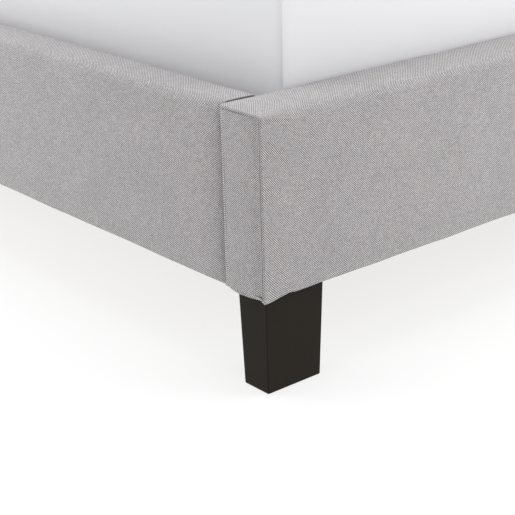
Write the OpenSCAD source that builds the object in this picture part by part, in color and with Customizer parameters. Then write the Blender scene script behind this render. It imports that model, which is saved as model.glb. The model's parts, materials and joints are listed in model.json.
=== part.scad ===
// Upholstered sleigh bed with low box rails, a scrolled headboard and a lift-off mattress.
// Millimetres, +Z up, +Y towards the head, +X to the sleeper's left when lying on the back.
// The origin is on the floor, below the middle of the whole bed.

/* [Mattress] */
// Width of the mattress that the bed is made for
mattress_w = 1524; // [1350:1:1830]
// Length of the mattress
mattress_l = 2032; // [1900:1:2130]
// Thickness of the mattress
mattress_t = 210; // [160:10:260]
// Room between the mattress and each side rail
side_gap = 48; // [20:1:60]
// Room between the mattress and the foot rail, and the headboard
end_gap = 7; // [5:1:20]
// How far the mattress lies below the top of the rails
mattress_sink = 75; // [60:1:90]

/* [Rails] */
// Height of the upholstered rails
rail_h = 240; // [220:5:280]
// Thickness of the foot rail
foot_rail_t = 81; // [70:1:90]
// Thickness of a side rail
side_rail_t = 60; // [55:1:70]
// How far the ends of the foot rail stand proud of the side rails
end_step = 4; // [0:1:10]
// How far the side rails reach below the foot rail
side_drop = 2; // [0:1:5]
// Open joint between a side rail's end and the foot rail or headboard
rail_joint = 2; // [0:0.5:3]

/* [Headboard] */
// Height of the top of the headboard's roll above the floor
headboard_h = 1080; // [950:10:1200]
// Thickness of the headboard below its roll
headboard_t = 75; // [70:1:80]
// Inner radius of the backward curve
curve_r = 450; // [350:10:600]
// Angle through which the headboard curves back before the roll
curve_angle = 35; // [20:1:40]
// Radius of the roll along the top
roll_r = 60; // [50:1:70]

/* [Legs] */
// Height of a leg, with its glide
leg_h = 138; // [100:1:160]
// Size of a leg's top across the bed
leg_w = 98; // [80:1:110]
// Size of a leg's top along the bed
leg_d = 55; // [45:1:60]
// How far each face of a leg leans in from top to floor
leg_taper = 4; // [0:1:10]
// How far the legs stand in from the faces of the rail above
leg_inset = 10; // [5:1:15]

/* [Slatted base] */
// Number of pairs of slats
slat_pairs = 14; // [10:1:16]
// Width of a slat
slat_w = 68; // [53:1:75]
// Thickness of a slat
slat_t = 8; // [6:1:10]
// Upward bow at the middle of a slat
slat_bow = 8; // [4:1:12]
// Number of legs under the centre beam
centre_legs = 3; // [3:1:3]
// Side of the square centre beam
beam_s = 40; // [30:1:50]

/* [Hidden] */
$fn = 64;
e = 1;             // overshoot of a cutting shape
fabric_t = 1.5;
foam_t = 8;
skin = fabric_t + foam_t;   // from a rail's outer face to its boards
board_t = 12;
edge_r = 10;       // rounding of the upholstered top edges
hem_r = 3;         // rounding of the upholstered bottom edges
hem_w = 22;        // fabric turned under each rail

well_w = mattress_w + 2 * side_gap;
well_l = mattress_l + 2 * end_gap;
side_out = well_w / 2 + side_rail_t;          // outer face of a side rail
half_w = side_out + end_step;                 // outer face of the foot rail's ends
rail_top = leg_h + rail_h;
side_z = leg_h - side_drop;

// Headboard profile in its own plane: 0 is its front face, z is the height above the floor.
curve_out = curve_r + headboard_t;
curve_rise = (curve_out - roll_r) * sin(curve_angle);
curve_z = headboard_h - roll_r - curve_rise;   // where the curve begins
roll_y = curve_out - (curve_out - roll_r) * cos(curve_angle);
head_depth = round(roll_y + roll_r);          // whole, so that faces which touch agree exactly

total_l = foot_rail_t + well_l + head_depth;
foot_y = -total_l / 2;                        // outer face of the foot rail
well_y0 = foot_y + foot_rail_t;               // inner face of the foot rail
well_y1 = well_y0 + well_l;                   // front face of the headboard
well_mid = (well_y0 + well_y1) / 2;

mattress_z = rail_top - mattress_sink;
contact_gap = 0.5;                            // between the slats' crowns and the mattress
slat_z = mattress_z - contact_gap - slat_bow - slat_t;   // underside of a slat's ends
cap_floor = 3.5;
cap_roof = 3;
cap_fit = 0.3;                                // play of a slat in its cap
ledge_top = slat_z - cap_floor;
ledge_w = 30;
ledge_h = 45;
ledge_in = 80;                                // from a rail's end to the ledge's end
slat_end = 6;                                 // from the slat's end to the rail or the middle
cap_depth = 30;
slat_room = well_l - 2 * ledge_in - slat_w - 8;
slat_pitch = slat_room / (slat_pairs - 1);

bracket_t = 3;
bracket_h = 110;
bracket_w = 60;
bracket_l = 70;
bracket_z = leg_h + 18;
bolt_r = 4;
bolt_zs = [bracket_z + 25, bracket_z + 85];
bolt_in = 35;                                 // from the side rail's inner face
bolt_l = 34;
insert_r = 6.5;
insert_end = 40;                              // depth of an insert's far end in the rail
screw_r = 2.2;
screw_l = 26;
screw_at = [[30, 20], [30, 90], [55, 55]];    // along the rail, up the bracket

beam_wall = 2;
beam_z = ledge_top - beam_s;
beam_plate_w = 120;
beam_plate_h = 70;
beam_shelf = 50;
beam_bolt_x = 42;
post_r = 16;
post_wall = 1.6;
foot_base_h = 12;
foot_base_r = 24;
foot_stud_r = 5;
foot_stud_l = 45;
stud_play = 0.05;                             // a plain shank stands in for the screw thread
plug_l = 32;
post_z0 = foot_base_h + 0.5;

leg_x = half_w - leg_inset - leg_w / 2;
front_leg_y = foot_y + leg_inset + leg_d / 2;
rear_leg_y = well_y1 + headboard_t / 2;
glide_t = 2;
glide_in = 7;
hanger_r = 4;
hanger_down = 42;
hanger_up = 30;

end_block_l = 130;                            // solid timber where legs and brackets are bolted
batten_h = 28;
foot_batten_h = 40;
rib_t = 18;
post_block = 60;                              // width of the headboard's corner posts

fabric_colour = "#a9a6a8";
foam_colour = "#e9e1c6";
board_colour = "#c8aa78";
leg_colour = "#312f2b";
steel_colour = "#55575a";
plastic_colour = "#1f1f20";
birch_colour = "#e0c79b";
ticking_colour = "#e9e9ec";

// ---------- helpers ----------

module both_sides() {
    children();
    mirror([1, 0, 0]) children();
}

module both_ends() {
    children();
    translate([0, 2 * well_mid, 0]) mirror([0, 1, 0]) children();
}

// One side of the bed: 1 is +X, -1 is -X.
module on_side(s) {
    if (s > 0) children();
    else mirror([1, 0, 0]) children();
}

module corner_cut(r) {
    difference() {
        translate([-e, -e]) square(r + e);
        translate([r, r]) circle(r);
    }
}

// Rectangle from the origin, rounded by rt at its two top corners and rb at its bottom ones.
module soft_rect(w, h, rt, rb) {
    difference() {
        square([w, h]);
        if (rb > 0) {
            corner_cut(rb);
            translate([w, 0]) mirror([1, 0]) corner_cut(rb);
        }
        if (rt > 0) {
            translate([0, h]) mirror([0, 1]) corner_cut(rt);
            translate([w, h]) mirror([1, 0]) mirror([0, 1]) corner_cut(rt);
        }
    }
}

// Extrudes a section drawn in (y, z) along X, centred on X = 0.
module along_x(length) {
    translate([-length / 2, 0, 0]) rotate([90, 0, 90]) linear_extrude(length) children();
}

// Extrudes a section drawn in (x, z) along Y, from y0 to y1.
module along_y(y0, y1) {
    translate([0, y1, 0]) rotate([90, 0, 0]) linear_extrude(y1 - y0) children();
}

module block(x0, x1, y0, y1, z0, z1) {
    translate([x0, y0, z0]) cube([x1 - x0, y1 - y0, z1 - z0]);
}

module rod_z(x, y, z0, z1, r) {
    translate([x, y, z0]) cylinder(h = z1 - z0, r = r);
}

// ---------- fasteners and their holes ----------

// Bolts of one corner bracket, running along Y into the foot rail; dy0 and dy1 are depths from its face.
module at_bracket_bolts() {
    for (z = bolt_zs)
        translate([well_w / 2 - bolt_in, well_y0, z]) children();
}

module bracket_bolt_rods(dy0, dy1, r) {
    both_sides() both_ends() at_bracket_bolts()
        translate([0, dy1, 0]) rotate([90, 0, 0]) cylinder(h = dy1 - dy0, r = r);
}

// Screws of the corner brackets, running along X into the side rails; depths from the rail's face.
module bracket_screw_rods(dx0, dx1, r) {
    both_sides() both_ends()
        for (p = screw_at)
            translate([well_w / 2 + dx0, well_y0 + p[0], bracket_z + p[1]])
                rotate([0, 90, 0]) cylinder(h = dx1 - dx0, r = r);
}

module ledge_screw_rods(dx0, dx1, r) {
    both_sides()
        for (i = [0 : 5])
            translate([well_w / 2 + dx0,
                       well_y0 + ledge_in + 60 + i * (well_l - 2 * ledge_in - 120) / 5,
                       ledge_top - ledge_h / 2])
                rotate([0, 90, 0]) cylinder(h = dx1 - dx0, r = r);
}

module beam_bolt_rods(dy0, dy1, r) {
    both_sides() both_ends()
        for (dz = [-18, 18])
            translate([beam_bolt_x, well_y0 + dy1, beam_z + dz])
                rotate([90, 0, 0]) cylinder(h = dy1 - dy0, r = r);
}

module at_legs() {
    for (y = [front_leg_y, rear_leg_y])
        both_sides() translate([leg_x, y, 0]) children();
}

module hanger_holes(z0, z1, r) {
    at_legs() rod_z(0, 0, z0, z1, r);
}

// ---------- foot rail ----------

module foot_section(inset, bottom) {
    translate([foot_y + inset, leg_h + bottom])
        soft_rect(foot_rail_t - 2 * inset, rail_h - inset - bottom,
                  max(edge_r - inset, 0), max(hem_r - inset, 0));
}

foot_len = 2 * half_w;
foot_board_len = foot_len - 2 * skin;
core_t = foot_rail_t - 2 * skin - 2 * board_t;
core_y = foot_y + skin + board_t;

module foot_rail_boards() {
    z0 = leg_h + fabric_t;
    z1 = rail_top - skin;
    color(board_colour) difference() {
        union() {
            block(-foot_board_len / 2, foot_board_len / 2,
                  foot_y + skin, foot_y + skin + board_t, z0, z1);
            block(-foot_board_len / 2, foot_board_len / 2,
                  well_y0 - skin - board_t, well_y0 - skin, z0, z1);
        }
        bracket_bolt_rods(-skin - board_t - e, 0, insert_r);
        beam_bolt_rods(-skin - board_t - e, 0, insert_r);
    }
}

module foot_rail_battens() {
    z0 = leg_h + fabric_t;
    z1 = rail_top - skin;
    half = foot_board_len / 2;
    color(board_colour) difference() {
        union() {
            block(-half, half, core_y, core_y + core_t, z0, z0 + foot_batten_h);
            block(-half, half, core_y, core_y + core_t, z1 - batten_h, z1);
            both_sides() block(half - end_block_l, half, core_y, core_y + core_t,
                               z0 + foot_batten_h, z1 - batten_h);
            block(-70, 70, core_y, core_y + core_t, z0 + foot_batten_h, z1 - batten_h);
        }
        bracket_bolt_rods(-insert_end, 0, insert_r);
        beam_bolt_rods(-insert_end, 0, insert_r);
        hanger_holes(z0 - e, z0 + hanger_up + 2, hanger_r + 0.5);
        hanger_holes(z0 - e, z0 + 9, 8);
    }
}

module foot_rail_foam() {
    color(foam_colour) difference() {
        along_x(foot_len - 2 * fabric_t) foot_section(fabric_t, fabric_t);
        block(-foot_board_len / 2, foot_board_len / 2, foot_y + skin, well_y0 - skin,
              leg_h - e, rail_top - skin);
        bracket_bolt_rods(-skin - e, e, insert_r);
        beam_bolt_rods(-skin - e, e, insert_r);
    }
}

module foot_rail_cover() {
    color(fabric_colour) difference() {
        along_x(foot_len - 2 * fabric_t) foot_section(0, 0);
        along_x(foot_len) foot_section(fabric_t, fabric_t);
        block(-half_w + 60, half_w - 60, foot_y + hem_w, well_y0 - hem_w,
              leg_h - e, leg_h + fabric_t + e);
        hanger_holes(leg_h - e, leg_h + fabric_t + e, hanger_r + 1);
        bracket_bolt_rods(-fabric_t - e, e, insert_r);
        beam_bolt_rods(-fabric_t - e, e, insert_r);
    }
}

module foot_rail_end_panel(s) {
    color(fabric_colour) on_side(s)
        translate([half_w - fabric_t / 2, 0, 0]) along_x(fabric_t) foot_section(0, 0);
}

// ---------- side rails ----------

side_y0 = well_y0 + rail_joint;
side_y1 = well_y1 - rail_joint;

module side_section(inset, bottom) {
    translate([well_w / 2 + inset, side_z + bottom])
        soft_rect(side_rail_t - 2 * inset, rail_top - side_z - inset - bottom,
                  max(edge_r - inset, 0), max(hem_r - inset, 0));
}

module side_rail_boards(s) {
    z0 = side_z + fabric_t;
    z1 = rail_top - skin;
    color(board_colour) on_side(s) difference() {
        union() {
            block(well_w / 2 + skin, well_w / 2 + skin + board_t,
                  side_y0 + skin, side_y1 - skin, z0, z1);
            block(side_out - skin - board_t, side_out - skin,
                  side_y0 + skin, side_y1 - skin, z0, z1);
        }
        bracket_screw_rods(0, screw_l + e, screw_r + 0.1);
        ledge_screw_rods(0, screw_l + e, screw_r + 0.1);
    }
}

module side_rail_battens(s) {
    z0 = side_z + fabric_t;
    z1 = rail_top - skin;
    x0 = well_w / 2 + skin + board_t;
    x1 = side_out - skin - board_t;
    color(board_colour) on_side(s) difference() {
        union() {
            block(x0, x1, side_y0 + skin, side_y1 - skin, z0, z0 + batten_h);
            block(x0, x1, side_y0 + skin, side_y1 - skin, z1 - batten_h, z1);
            for (y = [side_y0 + skin, well_mid - 50, side_y1 - skin - 100])
                block(x0, x1, y, y + 100, z0 + batten_h, z1 - batten_h);
        }
        bracket_screw_rods(0, screw_l + e, screw_r + 0.1);
        ledge_screw_rods(0, screw_l + e, screw_r + 0.1);
    }
}

module side_rail_foam(s) {
    color(foam_colour) on_side(s) difference() {
        along_y(side_y0 + fabric_t, side_y1 - fabric_t) side_section(fabric_t, fabric_t);
        block(well_w / 2 + skin, side_out - skin, side_y0 + skin, side_y1 - skin,
              side_z - e, rail_top - skin);
        bracket_screw_rods(-e, skin + e, screw_r + 0.1);
        ledge_screw_rods(-e, skin + e, screw_r + 0.1);
    }
}

module side_rail_cover(s) {
    color(fabric_colour) on_side(s) difference() {
        along_y(side_y0, side_y1) side_section(0, 0);
        along_y(side_y0 + fabric_t, side_y1 - fabric_t) side_section(fabric_t, fabric_t);
        block(well_w / 2 + hem_w - 4, side_out - hem_w + 4, side_y0 + 40, side_y1 - 40,
              side_z - e, side_z + fabric_t + e);
        bracket_screw_rods(-e, skin, screw_r + 0.1);
        ledge_screw_rods(-e, skin, screw_r + 0.1);
    }
}

module slat_ledge(s) {
    color(birch_colour) on_side(s) difference() {
        block(well_w / 2 - ledge_w, well_w / 2, well_y0 + ledge_in, well_y1 - ledge_in,
              ledge_top - ledge_h, ledge_top);
        ledge_screw_rods(-ledge_w - e, e, screw_r + 0.1);
        ledge_screw_rods(-ledge_w - e, -ledge_w + 3, 5);
    }
}

module ledge_screws() {
    color(steel_colour) {
        ledge_screw_rods(-ledge_w + 3, screw_l, screw_r);
        ledge_screw_rods(-ledge_w, -ledge_w + 3, 4.6);
    }
}

// ---------- headboard ----------

// Side view of the headboard, drawn in (y, z) with its outside moved in by inset.
module head_section(inset, bottom) {
    outer = curve_out - inset;
    inner = curve_r + inset;
    reach = curve_out + e;
    translate([well_y1, 0]) {
        translate([inset, leg_h + bottom])
            square([headboard_t - 2 * inset, curve_z - leg_h - bottom]);
        intersection() {
            translate([curve_out, curve_z]) difference() {
                circle(outer, $fn = 200);
                circle(inner, $fn = 200);
            }
            translate([curve_out, curve_z])
                polygon([[0, 0], [-reach, 0], [-reach, reach * tan(curve_angle)]]);
        }
        translate([roll_y, curve_z + curve_rise]) circle(roll_r - inset);
    }
}

head_skin_t = 5;
head_core = skin + head_skin_t;               // from the outside to the ribs

module head_bolt_holes(depth) {
    bracket_bolt_rods(-depth, e, insert_r);
    beam_bolt_rods(-depth, e, insert_r);
}

// Straight part of the headboard's inside, at the corner where a side rail is bolted.
module headboard_posts() {
    x1 = half_w - skin;
    color(board_colour) difference() {
        union() {
            both_sides() block(well_w / 2 - post_block, x1 - rib_t,
                               well_y1 + head_core, well_y1 + headboard_t - head_core,
                               leg_h + fabric_t, curve_z - 20);
            block(-70, 70, well_y1 + head_core, well_y1 + headboard_t - head_core,
                  leg_h + fabric_t, curve_z - 20);
        }
        head_bolt_holes(insert_end);
        hanger_holes(leg_h, leg_h + fabric_t + hanger_up + 2, hanger_r + 0.5);
        hanger_holes(leg_h, leg_h + fabric_t + 9, 8);
    }
}

module headboard_ribs() {
    color(board_colour)
        for (x = [-half_w + skin + rib_t / 2, -well_w / 4, well_w / 4, half_w - skin - rib_t / 2])
            translate([x, 0, 0]) along_x(rib_t) head_section(head_core, fabric_t);
}

// Cross rails between the ribs and posts, at the bottom, above the mattress and in the roll.
module headboard_cross_rails() {
    y0 = well_y1 + head_core;
    y1 = well_y1 + headboard_t - head_core;
    spans = [[-well_w / 2 + post_block, -well_w / 4 - rib_t / 2],
             [-well_w / 4 + rib_t / 2, -70],
             [70, well_w / 4 - rib_t / 2],
             [well_w / 4 + rib_t / 2, well_w / 2 - post_block]];
    bays = [[-half_w + skin + rib_t, -well_w / 4 - rib_t / 2],
            [-well_w / 4 + rib_t / 2, well_w / 4 - rib_t / 2],
            [well_w / 4 + rib_t / 2, half_w - skin - rib_t]];
    color(board_colour) {
        for (s = spans, z = [leg_h + fabric_t, curve_z - 80])
            block(s[0], s[1], y0, y1, z, z + 45);
        for (s = bays)
            translate([(s[0] + s[1]) / 2, 0, 0]) along_x(s[1] - s[0])
                translate([well_y1 + roll_y, curve_z + curve_rise]) circle(22);
    }
}

module headboard_skin() {
    color(birch_colour) difference() {
        along_x(2 * (half_w - skin)) head_section(skin, fabric_t);
        along_x(2 * half_w) head_section(head_core, -e);
        head_bolt_holes(head_core + e);
    }
}

module headboard_foam() {
    color(foam_colour) difference() {
        along_x(2 * (half_w - fabric_t)) head_section(fabric_t, fabric_t);
        along_x(2 * (half_w - skin)) head_section(skin, -e);
        head_bolt_holes(skin + e);
    }
}

module headboard_cover() {
    color(fabric_colour) difference() {
        along_x(2 * (half_w - fabric_t)) head_section(0, 0);
        along_x(2 * half_w) head_section(fabric_t, fabric_t);
        block(-half_w + 60, half_w - 60, well_y1 + hem_w, well_y1 + headboard_t - hem_w,
              leg_h - e, leg_h + fabric_t + e);
        hanger_holes(leg_h - e, leg_h + fabric_t + e, hanger_r + 1);
        head_bolt_holes(fabric_t + e);
    }
}

module headboard_end_panel(s) {
    color(fabric_colour) on_side(s)
        translate([half_w - fabric_t / 2, 0, 0]) along_x(fabric_t) head_section(0, 0);
}

// ---------- corner joints ----------

module corner_bracket_shape() {
    block(well_w / 2 - bracket_w, well_w / 2, well_y0, well_y0 + bracket_t,
          bracket_z, bracket_z + bracket_h);
    block(well_w / 2 - bracket_t, well_w / 2, well_y0, well_y0 + bracket_l,
          bracket_z, bracket_z + bracket_h);
}

module corner_brackets() {
    color(steel_colour) difference() {
        both_sides() both_ends() corner_bracket_shape();
        bracket_bolt_rods(-e, bracket_t + e, bolt_r + 0.5);
        bracket_screw_rods(-bracket_t - e, e, screw_r + 0.2);
    }
}

module bracket_bolts() {
    color(steel_colour) {
        bracket_bolt_rods(-bolt_l, bracket_t, bolt_r);
        bracket_bolt_rods(bracket_t, bracket_t + 5, 7);
    }
}

module bracket_inserts() {
    color(steel_colour) difference() {
        bracket_bolt_rods(-insert_end, -skin, insert_r);
        bracket_bolt_rods(-insert_end - e, e, bolt_r + 0.1);
    }
}

module bracket_screws() {
    color(steel_colour) {
        bracket_screw_rods(-bracket_t, screw_l, screw_r);
        bracket_screw_rods(-bracket_t - 2.5, -bracket_t, 4.5);
    }
}

// ---------- legs ----------

module leg_shape() {
    z0 = glide_t;
    slope = leg_taper * (leg_h - z0) / leg_h;
    intersection() {
        translate([0, leg_d, 0]) rotate([90, 0, 0]) linear_extrude(2 * leg_d)
            polygon([[-leg_w / 2, leg_h], [leg_w / 2, leg_h],
                     [leg_w / 2 - slope, z0], [-leg_w / 2 + slope, z0]]);
        translate([-leg_w, 0, 0]) rotate([90, 0, 90]) linear_extrude(2 * leg_w)
            polygon([[-leg_d / 2, leg_h], [leg_d / 2, leg_h],
                     [leg_d / 2 - slope, z0], [-leg_d / 2 + slope, z0]]);
    }
}

module leg(s, y) {
    color(leg_colour) on_side(s) difference() {
        translate([leg_x, y, 0]) leg_shape();
        rod_z(leg_x, y, leg_h - hanger_down - 2, leg_h + e, hanger_r);
    }
}

module leg_hanger_bolts() {
    color(steel_colour)
        at_legs() rod_z(0, 0, leg_h - hanger_down, leg_h + hanger_up, hanger_r);
}

module leg_tee_nuts() {
    z = leg_h + fabric_t;
    color(steel_colour) difference() {
        at_legs() {
            rod_z(0, 0, z, z + 2, 8);
            rod_z(0, 0, z, z + 9, 5.5);
        }
        hanger_holes(leg_h, z + 12, hanger_r + 0.1);
    }
}

module leg_glides() {
    color(plastic_colour) at_legs()
        block(-leg_w / 2 + leg_taper + glide_in, leg_w / 2 - leg_taper - glide_in,
              -leg_d / 2 + leg_taper + glide_in, leg_d / 2 - leg_taper - glide_in, 0, glide_t);
}

// ---------- centre beam and its legs ----------

beam_y0 = well_y0 + bracket_t + 2;
beam_y1 = well_y1 - bracket_t - 2;
beam_room = beam_y1 - beam_y0;

function centre_leg_y(i) = beam_y0 + beam_room * (i + 1) / (centre_legs + 1);

module at_centre_legs() {
    for (i = [0 : centre_legs - 1])
        translate([0, centre_leg_y(i), 0]) children();
}

module beam_square(side) {
    translate([-side / 2, beam_z + (beam_s - side) / 2]) square(side);
}

module centre_beam() {
    color(steel_colour) difference() {
        along_y(beam_y0 + 3, beam_y1 - 3) beam_square(beam_s);
        along_y(beam_y0, beam_y1) beam_square(beam_s - 2 * beam_wall);
        at_centre_legs() for (y = [-30, 30]) rod_z(0, y, beam_z - e, beam_z + beam_wall + e, 2.6);
    }
}

module beam_end_caps() {
    color(plastic_colour) both_ends() {
        along_y(beam_y0, beam_y0 + 3) beam_square(beam_s);
        along_y(beam_y0 + 3, beam_y0 + 20) difference() {
            beam_square(beam_s - 2 * beam_wall - 0.4);
            beam_square(beam_s - 2 * beam_wall - 6);
        }
    }
}

module beam_brackets() {
    color(steel_colour) difference() {
        both_ends() {
            block(-beam_plate_w / 2, beam_plate_w / 2, well_y0, well_y0 + bracket_t,
                  beam_z - beam_plate_h / 2, beam_z + beam_plate_h / 2);
            block(-beam_s / 2 - 3, beam_s / 2 + 3, well_y0, well_y0 + beam_shelf,
                  beam_z - bracket_t, beam_z);
            for (x = [-beam_s / 2 - 3, beam_s / 2 + 0.3])
                block(x, x + 2.7, well_y0, well_y0 + beam_shelf, beam_z - bracket_t, beam_z + 24);
        }
        beam_bolt_rods(-e, bracket_t + e, bolt_r + 0.5);
    }
}

module beam_bracket_bolts() {
    color(steel_colour) {
        beam_bolt_rods(-bolt_l, bracket_t, bolt_r);
        beam_bolt_rods(bracket_t, bracket_t + 5, 7);
    }
}

module beam_bracket_inserts() {
    color(steel_colour) difference() {
        beam_bolt_rods(-insert_end, -skin, insert_r);
        beam_bolt_rods(-insert_end - e, e, bolt_r + 0.1);
    }
}

module centre_leg_posts() {
    color(steel_colour) difference() {
        at_centre_legs() rod_z(0, 0, post_z0, beam_z - bracket_t, post_r);
        at_centre_legs() rod_z(0, 0, post_z0 - e, beam_z, post_r - post_wall);
    }
}

module centre_leg_plates() {
    color(steel_colour) difference() {
        at_centre_legs() block(-beam_s / 2, beam_s / 2, -42, 42, beam_z - bracket_t, beam_z);
        at_centre_legs() for (y = [-30, 30]) rod_z(0, y, 0, beam_z + e, 2.8);
    }
}

module centre_leg_screws() {
    color(steel_colour) at_centre_legs() for (y = [-30, 30]) {
        rod_z(0, y, beam_z - bracket_t, beam_z + 12, 2.5);
        rod_z(0, y, beam_z - bracket_t - 3, beam_z - bracket_t, 5);
    }
}

module centre_leg_plugs() {
    color(plastic_colour) difference() {
        at_centre_legs() rod_z(0, 0, post_z0, post_z0 + plug_l, post_r - post_wall);
        at_centre_legs() rod_z(0, 0, 0, post_z0 + plug_l + e, foot_stud_r + stud_play);
    }
}

module levelling_foot(i) {
    color(plastic_colour) translate([0, centre_leg_y(i), 0]) {
        rod_z(0, 0, 0, foot_base_h - 4, foot_base_r);
        translate([0, 0, foot_base_h - 4])
            cylinder(h = 4, r1 = foot_base_r, r2 = 12);
        rod_z(0, 0, foot_base_h, foot_base_h + foot_stud_l, foot_stud_r);
    }
}

// ---------- slats ----------

slat_len = well_w / 2 - 2 * slat_end;
bow_from = cap_depth + 6;
bow_steps = 12;

function bow(x) = slat_bow * pow(sin(180 * (x - bow_from) / (slat_len - 2 * bow_from)), 2);
bow_xs = [for (i = [0 : bow_steps]) bow_from + i * (slat_len - 2 * bow_from) / bow_steps];

module slat_profile() {
    under = concat([[0, 0]], [for (x = bow_xs) [x, bow(x)]], [[slat_len, 0]]);
    top = [for (i = [len(under) - 1 : -1 : 0]) [under[i][0], under[i][1] + slat_t]];
    translate([slat_end, slat_z]) polygon(concat(under, top));
}

module at_slats() {
    for (i = [0 : slat_pairs - 1])
        translate([0, well_mid - slat_room / 2 + i * slat_pitch, 0]) children();
}

module slats(s) {
    color(birch_colour) on_side(s) at_slats()
        along_y(-slat_w / 2, slat_w / 2) slat_profile();
}

// Pocket for a slat's end that reaches from x0 to x1, open towards the slat.
module slat_pocket(x0, x1) {
    block(x0, x1, -slat_w / 2 - cap_fit, slat_w / 2 + cap_fit,
          slat_z, slat_z + slat_t + cap_fit);
}

cap_w = slat_w + 8;
cap_z1 = slat_z + slat_t + cap_fit + cap_roof - 0.8;

module slat_caps(s) {
    x1 = well_w / 2 - 1;
    x0 = well_w / 2 - slat_end - cap_depth;
    color(plastic_colour) on_side(s) at_slats() difference() {
        block(x0, x1, -cap_w / 2, cap_w / 2, ledge_top, cap_z1);
        slat_pocket(x0 - e, well_w / 2 - slat_end + cap_fit);
    }
}

module slat_caps_centre() {
    x1 = slat_end + cap_depth;
    color(plastic_colour) at_slats() difference() {
        block(-x1, x1, -cap_w / 2, cap_w / 2, ledge_top, cap_z1);
        both_sides() slat_pocket(slat_end - cap_fit, x1 + e);
    }
}

// ---------- mattress ----------

ticking_t = 5;
mattress_corner = 18;
edge_foam_w = 50;
top_foam_t = 45;
base_foam_t = 25;
pocket_pitch = 62;                            // from one row of pocketed springs to the next
pocket_t = 1.2;
wire_t = 4;
core_inset = ticking_t + edge_foam_w;
core_half_w = mattress_w / 2 - core_inset;
core_half_l = mattress_l / 2 - core_inset;
core_z0 = mattress_z + ticking_t + base_foam_t;
core_z1 = mattress_z + mattress_t - ticking_t - top_foam_t;

// The mattress drawn from above, moved in by inset.
module mattress_plan(inset) {
    w = mattress_w - 2 * inset;
    l = mattress_l - 2 * inset;
    r = max(mattress_corner - inset, 0);
    translate([-w / 2, well_mid - l / 2]) soft_rect(w, l, r, r);
}

module mattress_slab(inset, z0, z1) {
    translate([0, 0, z0]) linear_extrude(z1 - z0) mattress_plan(inset);
}

module mattress_cover() {
    z1 = mattress_z + mattress_t;
    color(ticking_colour) difference() {
        mattress_slab(0, mattress_z, z1);
        mattress_slab(ticking_t, mattress_z + ticking_t, z1 - ticking_t);
    }
}

module mattress_foam_layers() {
    color(foam_colour) {
        mattress_slab(ticking_t, mattress_z + ticking_t, core_z0);
        mattress_slab(ticking_t, core_z1, mattress_z + mattress_t - ticking_t);
    }
}

module mattress_edge_foam() {
    color(foam_colour) difference() {
        mattress_slab(ticking_t, core_z0, core_z1);
        mattress_slab(core_inset, core_z0 - e, core_z1 + e);
    }
}

// Each row of pocketed springs is a plain upright strip of pocket fabric.
module mattress_pocket_rows() {
    half_l = core_half_l - 3 * wire_t;
    half_w = core_half_w - 3 * wire_t;
    rows = floor(2 * half_l / pocket_pitch);
    color(ticking_colour)
        for (i = [0 : rows])
            block(-half_w, half_w, well_mid - rows * pocket_pitch / 2 + i * pocket_pitch,
                  well_mid - rows * pocket_pitch / 2 + i * pocket_pitch + pocket_t,
                  core_z0, core_z1);
}

module mattress_border_wires() {
    x = core_half_w - wire_t;
    y = core_half_l - wire_t;
    color(steel_colour)
        for (z = [core_z0, core_z1 - wire_t])
            difference() {
                block(-x, x, well_mid - y, well_mid + y, z, z + wire_t);
                block(-x + wire_t, x - wire_t, well_mid - y + wire_t, well_mid + y - wire_t,
                      z - e, z + wire_t + e);
            }
}

// ---------- nodes ----------

foot_rail_boards();
foot_rail_battens();
foot_rail_foam();
foot_rail_cover();
foot_rail_end_panel(-1);  // foot_rail_end_panel_left
foot_rail_end_panel(1);  // foot_rail_end_panel_right
side_rail_boards(-1);  // side_rail_boards_left
side_rail_boards(1);  // side_rail_boards_right
side_rail_battens(-1);  // side_rail_battens_left
side_rail_battens(1);  // side_rail_battens_right
side_rail_foam(-1);  // side_rail_foam_left
side_rail_foam(1);  // side_rail_foam_right
side_rail_cover(-1);  // side_rail_cover_left
side_rail_cover(1);  // side_rail_cover_right
slat_ledge(-1);  // slat_ledge_left
slat_ledge(1);  // slat_ledge_right
ledge_screws();
headboard_posts();
headboard_ribs();
headboard_cross_rails();
headboard_skin();
headboard_foam();
headboard_cover();
headboard_end_panel(-1);  // headboard_end_panel_left
headboard_end_panel(1);  // headboard_end_panel_right
corner_brackets();
bracket_bolts();
bracket_inserts();
bracket_screws();
leg(-1, front_leg_y);  // front_leg_left
leg(1, front_leg_y);  // front_leg_right
leg(-1, rear_leg_y);  // rear_leg_left
leg(1, rear_leg_y);  // rear_leg_right
leg_hanger_bolts();
leg_tee_nuts();
leg_glides();
centre_beam();
beam_end_caps();
beam_brackets();
beam_bracket_bolts();
beam_bracket_inserts();
centre_leg_posts();
centre_leg_plates();
centre_leg_screws();
centre_leg_plugs();
levelling_foot(0);  // levelling_foot_1
levelling_foot(1);  // levelling_foot_2
levelling_foot(2);  // levelling_foot_3
slats(-1);  // slats_left
slats(1);  // slats_right
slat_caps(-1);  // slat_caps_left
slat_caps(1);  // slat_caps_right
slat_caps_centre();
mattress_cover();
mattress_foam_layers();
mattress_edge_foam();
mattress_pocket_rows();
mattress_border_wires();
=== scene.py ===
import json
import math

import bmesh
import bpy
import numpy as np
from mathutils import Matrix, Vector


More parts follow.
